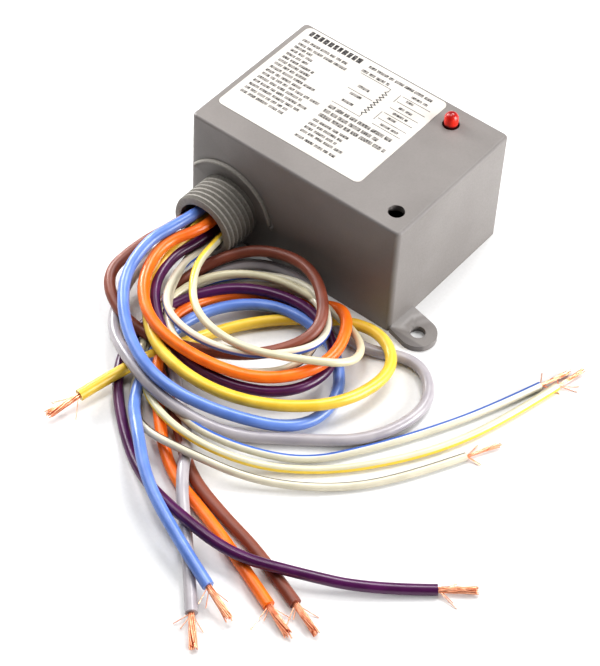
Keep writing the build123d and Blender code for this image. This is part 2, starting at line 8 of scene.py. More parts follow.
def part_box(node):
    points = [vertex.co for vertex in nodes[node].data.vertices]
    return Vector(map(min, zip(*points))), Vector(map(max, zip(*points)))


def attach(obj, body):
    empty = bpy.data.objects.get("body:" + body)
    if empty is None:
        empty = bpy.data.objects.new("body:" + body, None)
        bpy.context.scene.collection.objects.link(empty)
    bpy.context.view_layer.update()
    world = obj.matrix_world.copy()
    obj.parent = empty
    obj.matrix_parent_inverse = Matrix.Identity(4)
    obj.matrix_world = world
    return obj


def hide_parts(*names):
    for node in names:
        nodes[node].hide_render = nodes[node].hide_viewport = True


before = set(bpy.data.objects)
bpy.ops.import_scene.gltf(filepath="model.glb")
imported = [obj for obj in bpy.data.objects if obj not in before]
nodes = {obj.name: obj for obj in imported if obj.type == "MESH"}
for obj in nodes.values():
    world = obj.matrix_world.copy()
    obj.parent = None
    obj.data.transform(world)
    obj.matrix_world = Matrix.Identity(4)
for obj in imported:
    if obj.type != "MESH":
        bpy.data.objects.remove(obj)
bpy.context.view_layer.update()  # the imported relay's nodes, in their places
mm = 0.001
print("frame loaded,", len(nodes), "nodes")

camera = {
    "place": (0.2855, -0.4139, 0.5113),
    "azimuth": 35.84,
    "elevation": 48.27,
    "roll": 3.59,
    "lens": 126.97,  # on the long side of the sensor
    "sensor": 36,
    "farthest": 10,
}

bpy.ops.object.camera_add(location=camera["place"])
cameraObject = bpy.context.object
cameraObject.name = "sceneCamera"
turn = math.radians(camera["azimuth"])
tip = math.radians(camera["elevation"])
backwards = Vector(
    (math.sin(turn) * math.cos(tip), -math.cos(turn) * math.cos(tip), math.sin(tip))
)
level = (-backwards).to_track_quat("-Z", "Y")
cameraObject.rotation_mode = "QUATERNION"
cameraObject.rotation_quaternion = level @ Quaternion((0, 0, 1), math.radians(camera["roll"]))
cameraObject.data.lens = camera["lens"]
cameraObject.data.sensor_width = camera["sensor"]
cameraObject.data.clip_end = camera["farthest"]
bpy.context.scene.camera = cameraObject
bpy.context.scene.view_settings.view_transform = "Standard"
bpy.context.scene.view_settings.look = "Medium High Contrast"
print("camera set")


def toLinear(hexColour):
    # sRGB hex to the linear values that Blender mixes
    channels = [int(hexColour[i:i + 2], 16) / 255 for i in (0, 2, 4)]
    linear = [c / 12.92 if c <= 0.04045 else ((c + 0.055) / 1.055) ** 2.4 for c in channels]
    return linear + [1.0]


def addNode(material, kind, inputs=None, **settings):
    # settings are the node's own properties, inputs are values or the sockets that feed it
    node = material.node_tree.nodes.new("ShaderNode" + kind)
    for name, value in settings.items():
        setattr(node, name, value)
    for name, value in (inputs or {}).items():
        if isinstance(value, bpy.types.NodeSocket):
            material.node_tree.links.new(value, node.inputs[name])
        else:
            node.inputs[name].default_value = value
    return node


def startMaterial(name):
    material = bpy.data.materials.new(name)
    material.use_nodes = True
    material.node_tree.nodes.clear()
    place = addNode(material, "TexCoord").outputs["Object"]
    return material, place


def finishMaterial(material, colour, bump=None, **surface):
    # surface holds the shader's other sockets, with spaces written as underscores
    inputs = {"Base Color": colour}
    for name, value in surface.items():
        inputs[name.replace("_", " ")] = value
    if bump is not None:
        inputs["Normal"] = bump
    shader = addNode(material, "BsdfPrincipled", inputs)
    addNode(material, "OutputMaterial", {"Surface": shader.outputs["BSDF"]})
    return material


def wear(piece, material):
    piece.data.materials.clear()
    piece.data.materials.append(material)


def selectOnly(piece):
    if bpy.context.object and bpy.context.object.mode != "OBJECT":
        bpy.ops.object.mode_set(mode="OBJECT")
    bpy.ops.object.select_all(action="DESELECT")
    piece.select_set(True)
    bpy.context.view_layer.objects.active = piece


def applyAll(piece):
    selectOnly(piece)
    for modifier in list(piece.modifiers):
        bpy.ops.object.modifier_apply(modifier=modifier.name)


def mergeDoubles(piece):
    # welds the loose corners of a piece, closer than 2 thousandths of a millimetre
    selectOnly(piece)
    bpy.ops.object.mode_set(mode="EDIT")
    bpy.ops.mesh.select_all(action="SELECT")
    bpy.ops.mesh.remove_doubles(threshold=0.002 * mm)
    bpy.ops.object.mode_set(mode="OBJECT")


def settle(piece, angle):
    # the finished piece sits at the origin, with its place in its mesh
    selectOnly(piece)
    bpy.ops.object.transform_apply(location=True, rotation=True, scale=True)
    bpy.ops.object.shade_smooth_by_angle(angle=math.radians(angle))


def finishPiece(piece, material, angle=35):
    # every piece that is finished here is part of the housing's body
    settle(piece, angle)
    wear(piece, material)
    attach(piece, "housing")
    return piece


def mouldedPlastic(name, colour, shade, roughness=0.5):
    # thermoplastic from a spark-eroded mould: a fine even grain that breaks up the shine
    # the real grain is about 0.1 mm and is drawn at 0.7 mm, so that it shows
    material, place = startMaterial(name)
    grain = addNode(material, "TexNoise", {"Vector": place, "Scale": 1 / (0.7 * mm), "Detail": 3})
    clouds = addNode(material, "TexNoise", {"Vector": place, "Scale": 1 / (14 * mm), "Detail": 2})
    cloudShare = addNode(
        material, "MapRange", {"Value": clouds.outputs["Fac"], "From Min": 0.35, "From Max": 0.65}
    )
    base = addNode(
        material, "Mix",
        {0: cloudShare.outputs["Result"], 6: toLinear(colour), 7: toLinear(shade)},
        data_type="RGBA",
    )
    speckle = addNode(
        material, "MapRange",
        {"Value": grain.outputs["Fac"], "From Min": 0.3, "From Max": 0.7, "To Max": 0.35},
    )
    # the flecks are the plastic's own colour, paler where the grain stands up
    fleck = [min(1.0, channel * 1.7 + 0.01) for channel in toLinear(colour)[:3]] + [1.0]
    speckled = addNode(
        material, "Mix", {0: speckle.outputs["Result"], 6: base.outputs[2], 7: fleck},
        data_type="RGBA",
    )
    rough = addNode(
        material, "MapRange",
        {"Value": grain.outputs["Fac"], "To Min": roughness - 0.08, "To Max": roughness + 0.1},
    )
    bump = addNode(
        material, "Bump", {"Height": grain.outputs["Fac"], "Strength": 0.24, "Distance": 0.1 * mm}
    )
    return finishMaterial(
        material, speckled.outputs[2], bump.outputs["Normal"],
        Roughness=rough.outputs["Result"], IOR=1.5,
    )


def workedMetal(name, colour, tarnish, roughness=0.3, mark=2.0):
    # rolled or plated strip and wire: dull patches on bright metal
    # mark is the patches' size in millimetres
    material, place = startMaterial(name)
    patches = addNode(
        material, "TexNoise", {"Vector": place, "Scale": 1 / (mark * mm), "Detail": 4}
    )
    share = addNode(
        material, "MapRange", {"Value": patches.outputs["Fac"], "From Min": 0.4, "From Max": 0.7}
    )
    base = addNode(
        material, "Mix", {0: share.outputs["Result"], 6: toLinear(colour), 7: toLinear(tarnish)},
        data_type="RGBA",
    )
    rough = addNode(
        material, "MapRange",
        {"Value": patches.outputs["Fac"], "To Min": roughness - 0.1, "To Max": roughness + 0.15},
    )
    return finishMaterial(
        material, base.outputs[2], Metallic=1.0, Roughness=rough.outputs["Result"]
    )


boxFinish = {
    # the edges' dark colour is painted shade
    "colour": "827d7a", "shade": "7a7572", "grain": "5f5a58", "paintedEdgeShade": "4f4a4a",
    # the corners' pale colour is a painted highlight
    "cornerHighlight": "b9b4ad",
    "faces": {"X": 38, "Y": 27, "Z": 40.5},  # millimetres from the origin to each outer face
    "edge": (0.9, 0.1),  # the painted edge shade starts and is full this near to a face
}


def boxPlastic():
    # grey flame-retardant ABS, injection moulded: satin, warm grey; painted edge shade, corner
    # highlight
    # its mould's grain of about 0.1 mm is drawn at 0.6 mm, so that it shows
    material, place = startMaterial("greyAbsMoulding")
    grain = addNode(
        material, "TexNoise",
        {"Vector": place, "Scale": 1 / (0.6 * mm), "Detail": 4, "Roughness": 0.6},
    )
    clouds = addNode(material, "TexNoise", {"Vector": place, "Scale": 1 / (22 * mm), "Detail": 3})
    cloudShare = addNode(
        material, "MapRange", {"Value": clouds.outputs["Fac"], "From Min": 0.35, "From Max": 0.65}
    )
    body = addNode(
        material, "Mix",
        {
            0: cloudShare.outputs["Result"],
            6: toLinear(boxFinish["colour"]), 7: toLinear(boxFinish["shade"]),
        },
        data_type="RGBA",
    )
    where = addNode(material, "SeparateXYZ", {"Vector": place})
    # two of the outer faces are near at once at an edge, and three at a corner
    nearness = []
    farEdge, nearEdge = boxFinish["edge"]
    for axis, face in boxFinish["faces"].items():
        away = addNode(material, "Math", {0: where.outputs[axis]}, operation="ABSOLUTE")
        near = addNode(
            material, "MapRange",
            {
                "Value": away.outputs["Value"],
                "From Min": (face - farEdge) * mm, "From Max": (face - nearEdge) * mm,
            },
        )
        nearness.append(near.outputs["Result"])
    sides = addNode(material, "Math", {0: nearness[0], 1: nearness[1]}, operation="ADD")
    allNear = addNode(
        material, "Math", {0: sides.outputs["Value"], 1: nearness[2]}, operation="ADD"
    )
    # the radius along an edge is painted darker than the faces: painted shade
    edgeShadeShare = addNode(
        material, "MapRange",
        {"Value": allNear.outputs["Value"], "From Min": 1.1, "From Max": 2.0, "To Max": 0.6},
    )
    edged = addNode(
        material, "Mix",
        {
            0: edgeShadeShare.outputs["Result"],
            6: body.outputs[2], 7: toLinear(boxFinish["paintedEdgeShade"]),
        },
        data_type="RGBA",
    )
    # the corners are painted paler, a painted highlight broken into patches by noise
    cornerHighlightNoise = addNode(material, "TexNoise", {"Vector": place, "Scale": 1 / (5 * mm), "Detail": 4})
    patchy = addNode(
        material, "Math", {0: allNear.outputs["Value"], 1: cornerHighlightNoise.outputs["Fac"]}, operation="ADD"
    )
    cornerHighlight = addNode(
        material, "MapRange",
        {"Value": patchy.outputs["Value"], "From Min": 2.8, "From Max": 3.5, "To Max": 0.8},
    )
    paled = addNode(
        material, "Mix",
        {0: cornerHighlight.outputs["Result"], 6: edged.outputs[2], 7: toLinear(boxFinish["cornerHighlight"])},
        data_type="RGBA",
    )
    speckle = addNode(
        material, "MapRange",
        {"Value": grain.outputs["Fac"], "From Min": 0.35, "From Max": 0.7, "To Max": 0.1},
    )
    final = addNode(
        material, "Mix",
        {0: speckle.outputs["Result"], 6: paled.outputs[2], 7: toLinear(boxFinish["grain"])},
        data_type="RGBA",
    )
    rough = addNode(
        material, "MapRange", {"Value": grain.outputs["Fac"], "To Min": 0.36, "To Max": 0.56}
    )
    bump = addNode(
        material, "Bump", {"Height": grain.outputs["Fac"], "Strength": 0.22, "Distance": 0.12 * mm}
    )
    return finishMaterial(
        material, final.outputs[2], bump.outputs["Normal"],
        Roughness=rough.outputs["Result"], IOR=1.52,
    )


def labelVinyl(colour, shade):
    # white printed vinyl, laminated: near-white with a faint warm mottling and a soft shine
    material, place = startMaterial("whiteLabelVinyl")
    mottle = addNode(material, "TexNoise", {"Vector": place, "Scale": 1 / (9 * mm), "Detail": 4})
    share = addNode(
        material, "MapRange", {"Value": mottle.outputs["Fac"], "From Min": 0.35, "From Max": 0.7}
    )
    base = addNode(
        material, "Mix",
        {0: share.outputs["Result"], 6: toLinear(colour), 7: toLinear(shade)},
        data_type="RGBA",
    )
    fibre = addNode(material, "TexNoise", {"Vector": place, "Scale": 1 / (0.8 * mm), "Detail": 2})
    bump = addNode(
        material, "Bump", {"Height": fibre.outputs["Fac"], "Strength": 0.05, "Distance": 0.05 * mm}
    )
    rough = addNode(
        material, "MapRange", {"Value": mottle.outputs["Fac"], "To Min": 0.32, "To Max": 0.42}
    )
    return finishMaterial(
        material, base.outputs[2], bump.outputs["Normal"],
        Roughness=rough.outputs["Result"], IOR=1.5,
    )


def labelInk(colour, shade):
    # thermal-transfer ink: dark grey, broken into letter-sized touches of 0.6 mm
    material, place = startMaterial("printedInk")
    squash = addNode(material, "Mapping", {"Vector": place, "Scale": (1.0, 0.5, 1.0)})
    touches = addNode(
        material, "TexVoronoi", {"Vector": squash.outputs["Vector"], "Scale": 1 / (0.6 * mm)},
        feature="F1",
    )
    share = addNode(
        material, "MapRange",
        {"Value": touches.outputs["Distance"], "From Min": 0.22, "From Max": 0.62},
    )
    base = addNode(
        material, "Mix",
        {0: share.outputs["Result"], 6: toLinear(colour), 7: toLinear(shade)},
        data_type="RGBA",
    )
    return finishMaterial(material, base.outputs[2], Roughness=0.45, IOR=1.5)


def blackInk(colour, shade):
    # the same ink laid solid, for the bold title bars and the diagram lines
    material, place = startMaterial("solidInk")
    thinning = addNode(
        material, "TexNoise", {"Vector": place, "Scale": 1 / (0.7 * mm), "Detail": 3}
    )
    share = addNode(
        material, "MapRange", {"Value": thinning.outputs["Fac"], "From Min": 0.45, "From Max": 0.8}
    )
    base = addNode(
        material, "Mix",
        {0: share.outputs["Result"], 6: toLinear(colour), 7: toLinear(shade)},
        data_type="RGBA",
    )
    return finishMaterial(material, base.outputs[2], Roughness=0.4, IOR=1.5)


lampFinish = {
    # the dome's deeper red is painted shade, and the foot's dark red a painted shadow in the lid's
    # hole
    "colour": "f01c0a", "haze": "fb3c1e", "dome": "8c0f14", "foot": "4a090b",
    "footShadowRise": (40.9, 41.6), "domeShadeRise": (43.2, 45.0),  # heights between which they give way
}


def lampEpoxy():
    # diffused red epoxy of an indicator lamp: light soaks in and glows; painted shade deepens its
    # dome, a painted shadow darkens its foot
    material, place = startMaterial("redLampEpoxy")
    where = addNode(material, "SeparateXYZ", {"Vector": place})
    # from the lid up to these heights the foot is painted dark: a painted shadow
    low, high = lampFinish["footShadowRise"]
    aboveLid = addNode(
        material, "MapRange",
        {"Value": where.outputs["Z"], "From Min": low * mm, "From Max": high * mm},
    )
    # the lower half keeps the bright red, and the dome above it is painted a deeper red, as painted
    # shade
    low, high = lampFinish["domeShadeRise"]
    dome = addNode(
        material, "MapRange",
        {"Value": where.outputs["Z"], "From Min": low * mm, "From Max": high * mm},
    )
    haze = addNode(material, "TexNoise", {"Vector": place, "Scale": 1 / (1.2 * mm), "Detail": 3})
    hazeShare = addNode(
        material, "MapRange", {"Value": haze.outputs["Fac"], "From Min": 0.35, "From Max": 0.7}
    )
    red = addNode(
        material, "Mix",
        {
            0: hazeShare.outputs["Result"],
            6: toLinear(lampFinish["colour"]), 7: toLinear(lampFinish["haze"]),
        },
        data_type="RGBA",
    )
    domeShaded = addNode(
        material, "Mix",
        {0: dome.outputs["Result"], 6: red.outputs[2], 7: toLinear(lampFinish["dome"])},
        data_type="RGBA",
    )
    # the dark foot mixed in here is painted shadow
    base = addNode(
        material, "Mix",
        {0: aboveLid.outputs["Result"], 6: toLinear(lampFinish["foot"]), 7: domeShaded.outputs[2]},
        data_type="RGBA",
    )
    return finishMaterial(
        material, base.outputs[2], Roughness=0.3, IOR=1.54, Subsurface_Weight=0.08,
        Subsurface_Radius=(1.0 * mm, 0.3 * mm, 0.2 * mm), Subsurface_Scale=1.0,
        Coat_Weight=0.15, Coat_Roughness=0.15,
    )


def leadInsulation(name, lead):
    # extruded PVC on hook-up wire: soft sheen, faint waviness along it, a film of handling dust
    material, place = startMaterial(name)
    roughness = lead.get("roughness", 0.3)
    waves = addNode(material, "TexNoise", {"Vector": place, "Scale": 1 / (6 * mm), "Detail": 2})
    share = addNode(
        material, "MapRange", {"Value": waves.outputs["Fac"], "From Min": 0.35, "From Max": 0.65}
    )
    base = addNode(
        material, "Mix",
        {0: share.outputs["Result"], 6: toLinear(lead["colour"]), 7: toLinear(lead["shade"])},
        data_type="RGBA",
    )
    if "stripe" in lead:
        # the stripe runs along the wire, on the side that the wire's own twist has turned it to
        uv = addNode(material, "UVMap", uv_map="UVMap")
        along = addNode(material, "SeparateXYZ", {"Vector": uv.outputs["UV"]})
        side = addNode(material, "ValToRGB", {"Fac": along.outputs["X"]})
        side.color_ramp.interpolation = "EASE"
        side.color_ramp.elements.remove(side.color_ramp.elements[1])
        firstTurn = lead["stripeSides"][0][1]
        for spot, turned in lead["stripeSides"][1:]:
            side.color_ramp.elements.new(spot).color = (turned, turned, turned, 1)
        side.color_ramp.elements[0].color = (firstTurn, firstTurn, firstTurn, 1)
        around = addNode(
            material, "Math", {0: along.outputs["Y"], 1: side.outputs["Color"]},
            operation="SUBTRACT",
        )
        folded = addNode(
            material, "Math", {0: around.outputs["Value"], 1: 0.5}, operation="PINGPONG"
        )
        half = lead["stripeWidth"] / 2
        inStripe = addNode(
            material, "MapRange",
            {
                "Value": folded.outputs["Value"],
                "From Min": half + 0.02, "From Max": half - 0.01,
            },
        )
        base = addNode(
            material, "Mix",
            {0: inStripe.outputs["Result"], 6: base.outputs[2], 7: toLinear(lead["stripe"])},
            data_type="RGBA",
        )
    scuff = addNode(material, "TexNoise", {"Vector": place, "Scale": 1 / (1.1 * mm), "Detail": 3})
    rough = addNode(
        material, "MapRange",
        {"Value": scuff.outputs["Fac"], "To Min": roughness - 0.08, "To Max": roughness + 0.12},
    )
    bump = addNode(
        material, "Bump", {"Height": scuff.outputs["Fac"], "Strength": 0.12, "Distance": 0.1 * mm}
    )
    return finishMaterial(
        material, base.outputs[2], bump.outputs["Normal"], Roughness=rough.outputs["Result"],
        IOR=1.53, Coat_Weight=0.15, Coat_Roughness=0.25,
    )


def bareCopper(colour, shade):
    # annealed copper strands, slightly oxidised: salmon with browner stretches
    material, place = startMaterial("bareCopperStrand")
    patches = addNode(
        material, "TexNoise", {"Vector": place, "Scale": 1 / (2.2 * mm), "Detail": 3}
    )
    share = addNode(
        material, "MapRange", {"Value": patches.outputs["Fac"], "From Min": 0.4, "From Max": 0.7}
    )
    base = addNode(
        material, "Mix",
        {0: share.outputs["Result"], 6: toLinear(colour), 7: toLinear(shade)},
        data_type="RGBA",
    )
    rough = addNode(
        material, "MapRange", {"Value": patches.outputs["Fac"], "To Min": 0.28, "To Max": 0.45}
    )
    return finishMaterial(
        material, base.outputs[2], Metallic=1.0, Roughness=rough.outputs["Result"]
    )


def circuitLaminate(colour, shade):
    # glass-epoxy laminate under green solder resist, with the faint weave of the glass cloth
    material, place = startMaterial("glassEpoxyBoard")
    weave = addNode(
        material, "TexWave", {"Vector": place, "Scale": 1 / (2.5 * mm), "Distortion": 0.4},
        wave_type="BANDS",
    )
    share = addNode(material, "MapRange", {"Value": weave.outputs["Fac"], "To Max": 0.4})
    base = addNode(
        material, "Mix",
        {0: share.outputs["Result"], 6: toLinear(colour), 7: toLinear(shade)},
        data_type="RGBA",
    )
    return finishMaterial(material, base.outputs[2], Roughness=0.3, IOR=1.5)


def windingWire(colour, shade):
    # enamelled copper wound in close layers 0.2 mm apart, drawn at 0.6 mm so that the turns show
    material, place = startMaterial("enamelledWinding")
    turns = addNode(
        material, "TexWave", {"Vector": place, "Scale": 1 / (1.9 * mm), "Distortion": 0.2},
        wave_type="BANDS", bands_direction="Z",
    )
    base = addNode(
        material, "Mix", {0: turns.outputs["Fac"], 6: toLinear(colour), 7: toLinear(shade)},
        data_type="RGBA",
    )
    bump = addNode(
        material, "Bump", {"Height": turns.outputs["Fac"], "Strength": 0.5, "Distance": 0.15 * mm}
    )
    return finishMaterial(
        material, base.outputs[2], bump.outputs["Normal"],
        Metallic=0.4, Roughness=0.3, Coat_Weight=0.5,
    )


boxMaterial = boxPlastic()
nippleMaterial = mouldedPlastic("threadedAbs", "87837d", "7e7a74", 0.62)
inkMaterial = labelInk("1c1a1a", "8f8b87")
solidInkMaterial = blackInk("1e1c1d", "8e8a88")
copperMaterial = bareCopper("f8bb9a", "dc8c69")

# what stays as it is in the frame gets its real material
carriedOver = {
    "label": labelVinyl("cfcbc5", "c4bfb8"),
    "base_plate": mouldedPlastic("greyBasePlate", "857f7b", "7b7572"),
    "pcb": circuitLaminate("1f6b3f", "2c7d4b"),
    "led_leads": workedMetal("tinnedWire", "cfcfcd", "a8a6a2"),
    "relay_base": mouldedPlastic("blackRelayBase", "1d1d1f", "262628", 0.4),
    "relay_cover": mouldedPlastic("blackRelayCover", "232325", "2c2c2f", 0.35),
    "yoke": workedMetal("zincPlatedYoke", "b9bbbd", "94979a", mark=4),
    "core": workedMetal("zincPlatedCore", "b9bbbd", "94979a"),
    "bobbin": mouldedPlastic("naturalNylonBobbin", "d9d4c6", "cfc9b8"),
    "coil_winding": windingWire("8f3d1d", "c7713a"),
    "coil_pins": workedMetal("tinnedPin", "cfcfcd", "a8a6a2"),
    "armature": workedMetal("zincPlatedArmature", "b4b7ba", "8e9194", mark=3),
    "arm_carrier": mouldedPlastic("naturalNylonCarrier", "d9d4c6", "cfc9b8"),
    "contact_arm_1": workedMetal("phosphorBronze", "c99263", "a3714a"),
    "contact_arm_2": workedMetal("phosphorBronzeArm", "c99263", "a3714a"),
    "moving_contacts": workedMetal("silverRivet", "dcdad5", "b3b0aa", 0.2),
    "nc_contacts": workedMetal("silverContact", "dcdad5", "b3b0aa", 0.2),
    "no_contacts": workedMetal("silverFacing", "dcdad5", "b3b0aa", 0.2),
    "common_terminal_1": workedMetal("tinnedBrassStrip", "c8b176", "a48c58"),
    "common_terminal_2": workedMetal("tinnedBrassTab", "c8b176", "a48c58"),
    "no_terminal_1": workedMetal("tinnedBrassBlade", "c8b176", "a48c58"),
    "no_terminal_2": workedMetal("tinnedBrassLeaf", "c8b176", "a48c58"),
    "nc_terminal_1": workedMetal("tinnedBrassBracket", "c8b176", "a48c58"),
    "nc_terminal_2": workedMetal("tinnedBrassFrame", "c8b176", "a48c58"),
    "return_spring": workedMetal("springBronze", "c48f60", "9b6a44"),
    "bridge_rectifier": mouldedPlastic("rectifierEpoxy", "18181a", "222224", 0.35),
    "dropper_resistor": mouldedPlastic("resistorCement", "b7ad97", "a59b86", 0.7),
    "film_capacitor": mouldedPlastic("capacitorCase", "d8a81c", "c79a18", 0.35),
    "varistor": mouldedPlastic("varistorLacquer", "1d4f8c", "1a467c", 0.3),
}
for node, material in carriedOver.items():
    wear(nodes[node], material)
print("materials made,", len(bpy.data.materials))

nippleMouth = -39.7  # where the leads leave the nipple, in millimetres

# each route runs from the bore through the coil to the stripped end, in millimetres
leads = {
    "blue": {
        "diameter": 3.5, "length": 315, "colour": "5c7bc0", "shade": "6a88cc",
        "route": [
            (-25, -24.8, 16.7), (-25, -36, 16.7), (-26.5, -47, 17.2), (-29.5, -57, 16),
            (-27, -71, 12.5), (-12.3, -85.6, 12), (6, -93, 11.5), (25, -86.8, 6.8),
            (43, -74.6, 2.6), (44, -57, 2.2), (29.5, -42.4, 3.6), (9, -42.3, 4.6), (-5.5, -55, 3.6),
            (-9.3, -75, 3.6), (-0.5, -96.6, 3.4), (10.5, -107, 8.2), (24, -119, 8.6),
            (41, -127, 7), (58, -133, 4.5),
        ],
    },
    "orange": {
        "diameter": 3.5, "length": 302, "colour": "ee6a12", "shade": "f57d22",
        "route": [
            (-20.8, -24.8, 15.1), (-20.8, -35, 15.1), (-21.5, -43, 15), (-27, -53, 14),
            (-22.8, -67.8, 12), (-9.4, -78, 11.2), (11.1, -77.7, 9.8), (28.5, -70.3, 8.8),
            (37.9, -52.5, 9), (28.6, -33.2, 9.2), (13, -37, 2), (-4, -44.5, 2.6),
            (-12.9, -63.2, 3.4), (-7.2, -78.2, 3.6), (5.7, -93.2, 3.2), (23, -108.8, 1.8),
            (41.5, -114, 1.8), (56.2, -119.3, 1.8), (73, -126, 1.8),
        ],
    },
    "purple": {
        "diameter": 3.2, "length": 344, "colour": "440b41", "shade": "51134e",
        "route": [
            (-20.8, -24.8, 10.9), (-20.8, -34, 10.9), (-21, -42, 10.5), (-24, -53, 9.8),
            (-19.4, -67, 9.2), (-3.4, -78, 7.4), (17.2, -77.9, 5.5), (34.6, -67.5, 5.3),
            (37, -49, 5), (20, -38.4, 6.2), (0, -43, 6.4), (-12.8, -56.4, 5), (-18, -75.5, 2.2),
            (-11.5, -91.3, 1.6), (3, -105, 1.6), (19, -116, 3.2), (36.5, -121.3, 7),
            (56.4, -122, 5.5), (74, -115, 5.4), (90, -105, 2), (104, -93, 1.6),
        ],
    },
    "brown": {
        "diameter": 3.5, "length": 313, "colour": "743a29", "shade": "824533", "roughness": 0.45,
        "route": [
            (-28.6, -24.8, 13), (-28.6, -34, 13), (-30, -42, 11.5), (-35, -55, 9),
            (-35, -70.6, 7.6), (-17, -78.7, 5.2), (2, -73.2, 5.2), (20, -63.6, 7.4),
            (30, -47, 11.4), (14, -31.5, 14.5), (-6, -32.5, 10.5), (-16.5, -45, 6.5),
            (-20, -62, 1.8), (-10, -78, 1.8), (10.8, -91.2, 1.8), (28.2, -106, 1.8),
            (45.1, -111.1, 1.8), (61, -114.5, 1.8), (78, -121, 1.8),
        ],
    },
    "yellow": {
        "diameter": 3.5, "length": 254, "colour": "dfb83a", "shade": "e9c64e",
        "route": [
            (-24.8, -24.8, 12.3), (-24.8, -34, 12.3), (-24.6, -43, 11.2), (-25.2, -54.2, 9.8),
            (-18.6, -70.4, 7.6), (-4.5, -82, 8.4), (15.6, -83.4, 7.6), (34.4, -76.3, 7.6),
            (48.4, -61.2, 6.6), (51, -40.6, 5), (37.5, -31, 4.8), (20, -38, 2.4), (6, -51, 1.8),
            (-3, -68, 1.8), (-8, -88, 5.2), (-12, -106, 4),
        ],
    },
    "grey": {
        "diameter": 3.5, "length": 390, "colour": "a09a9f", "shade": "aea8ab",
        "route": [
            (-27.2, -24.8, 8.3), (-27.2, -34, 8.3), (-28.5, -43, 7), (-33, -57, 4.5),
            (-25.2, -79.1, 3), (-7.5, -90.3, 8.6), (10.7, -94.6, 7.6), (28.7, -89, 2.4),
            (44, -77, 1.8), (60, -64, 1.8), (65.5, -43, 1.8), (53, -30.5, 1.8), (36, -39.6, 1.8),
            (22, -35, 1.8), (7, -30.8, 6.4), (-10, -36, 4.8), (-18, -56, 1.8), (-8, -72, 1.8),
            (6, -85, 1.8), (21, -97, 1.8), (29.3, -110.7, 5.4), (45.7, -126.6, 2.4),
            (59, -141, 1.8),
        ],
    },
    "white_yellow": {
        "diameter": 2.4, "length": 350, "colour": "d6cfb2", "shade": "ccc5a8",
        "stripe": "f0cf45", "stripeWidth": 0.28,
        # how far along the lead, and how far round it the stripe has turned
        "stripeSides": [
            (0, 0.24), (0.12, 0.26), (0.22, 0.72), (0.5, 0.68), (0.68, 0.48), (1, 0.47),
        ],
        "route": [
            (-17.4, -24.8, 10.9), (-17.4, -33, 10.9), (-16.5, -41, 12), (-14.5, -54, 12),
            (-3, -67, 12), (15.5, -69, 12.4), (33, -60.8, 13.2), (43, -50.6, 10),
            (37.5, -38.6, 5.2), (21, -36, 7.4), (2, -38, 8.8), (-14, -49, 6.6), (-17, -67, 4),
            (-9.5, -84.5, 2.2), (6.5, -96.5, 5.4), (24.5, -99.6, 6.6), (42, -92, 2.2),
            (57, -80, 1.2), (69, -65, 1.2), (78, -49, 1.2), (84, -31, 1.2), (88, -13, 1.2),
        ],
    },
    "white_blue": {
        "diameter": 2.4, "length": 325, "colour": "d3cebb", "shade": "c9c4b2",
        "stripe": "3c63b4", "stripeWidth": 0.16,
        "stripeSides": [
            (0, 0.9), (0.12, 0.9), (0.18, 0.42), (0.4, 0.42), (0.5, 0.86), (0.66, 0.1), (1, 0.08),
        ],
        "route": [
            (-20, -24.8, 7.5), (-20, -34, 7.5), (-19.5, -42, 8), (-20, -54, 9), (-13, -70, 10),
            (5.8, -73.2, 10.6), (23, -65, 10.4), (33, -48, 10), (17.5, -33.5, 9.2), (-2, -37, 6),
            (-16, -52, 3.8), (-13, -70, 3.6), (-3.5, -84, 3.2), (14.5, -94.8, 5), (33, -92.5, 4.4),
            (50, -82, 1.2), (61, -66, 1.2), (70, -50, 1.2), (78, -33, 1.2), (84, -16, 1.2),
        ],
    },
    "white_black": {
        "diameter": 2.4, "length": 316, "colour": "d2cbb6", "shade": "c7c0ab",
        "stripe": "2a2726", "stripeWidth": 0.1,
        "stripeSides": [(0, 0.3), (0.12, 0.3), (0.25, 0.5), (0.5, 0.4), (0.66, 0.06), (1, 0.05)],
        "route": [
            (-23, -24.8, 8.3), (-23, -34, 8.3), (-22.5, -42, 7.5), (-20.5, -53, 6.4),
            (-14.9, -65, 7.6), (-2, -77.6, 8.8), (18, -74, 7), (32, -59, 7.4), (23.2, -36.6, 9),
            (4, -36, 4), (-12, -50, 3.2), (-13, -72, 1.6), (-4, -93, 1.8), (7.5, -104, 4.2),
            (26, -104.5, 8), (45, -97, 3), (62, -84, 1.2), (74, -69, 1.2), (83, -51, 1.2),
        ],
    },
}

# the bare strands at a stripped end: lengths in millimetres, angles in radians
strands = {
    # reach is how far out the outer ring lies
    "thickLead": {"count": 19, "radius": 0.2, "reach": 0.72},
    "thinLead": {"count": 12, "radius": 0.14, "reach": 0.42},
    "thinBelow": 3,  # the diameter that parts thin leads from thick ones
    "length": 12.6,
    "cutShort": (0.82, 0.99),  # each strand's share of that length
    "turn": 2.399963,  # from one strand to the next, which spreads them evenly
    "lay": 1.4,  # the twist that is left along the bare end
    "splay": 0.6, "splayShare": (0.2, 1.4),  # how far the ends open, and each strand's share
    "lowest": 0.2,  # the floor lifts the strands' middles to this height
    "strays": 3,
    "stray": {
        "length": 8.5, "share": (0.5, 1.0), "radius": 0.14, "away": (0.35, 1.15),
        "apart": 0.25, "rise": 0.12, "straight": 1.2, "droop": 0.25,
    },
}


